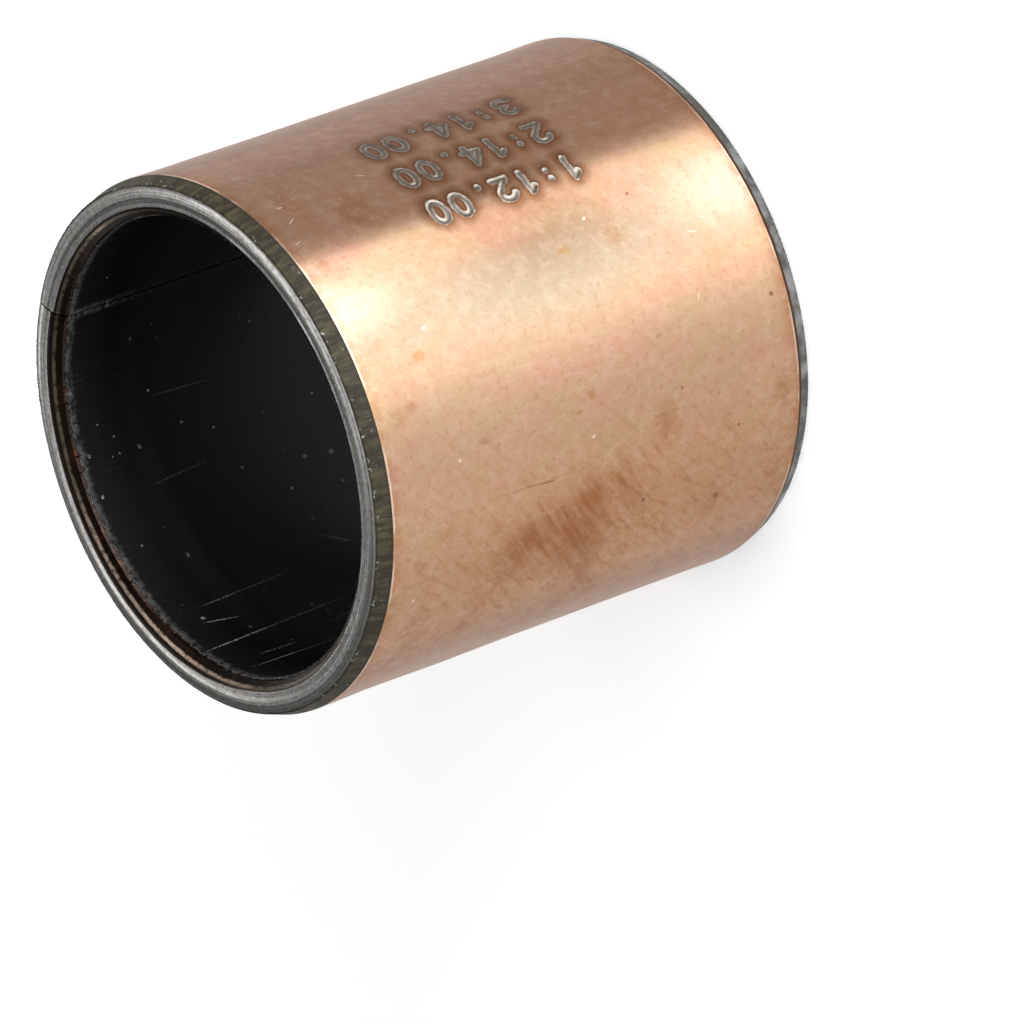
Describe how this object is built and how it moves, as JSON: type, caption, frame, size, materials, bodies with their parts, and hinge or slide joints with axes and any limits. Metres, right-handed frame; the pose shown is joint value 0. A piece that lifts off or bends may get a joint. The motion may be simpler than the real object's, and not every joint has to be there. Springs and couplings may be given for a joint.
{
  "type": "wrapped composite bushing",
  "caption": "Thin-walled plain bushing rolled from a composite strip, copper plated outside, with a black low-friction bore, a straight butt joint and chamfered rims.",
  "frame": {"origin": "centre of the lower end face, on the bore axis", "axes": "+Z along the bore axis, away from the end that the bushing stands on; +X through the butt joint"},
  "size_m": [0.014, 0.014, 0.014],
  "materials": {
    "copper_plate": "thin copper plating, satin, handled, with brown stains",
    "steel": "low-carbon steel, turned on the rims and left bare there",
    "sintered_bronze": "porous sintered bronze, seen only as a line where the rims are turned",
    "black_liner": "black fluoropolymer sliding coat, satin, with light scratches"
  },
  "bodies": {
    "root": {"copper_plating": "copper_plate", "steel_backing": "steel", "bronze_layer": "sintered_bronze", "sliding_liner": "black_liner"}
  },
  "joints": []
}
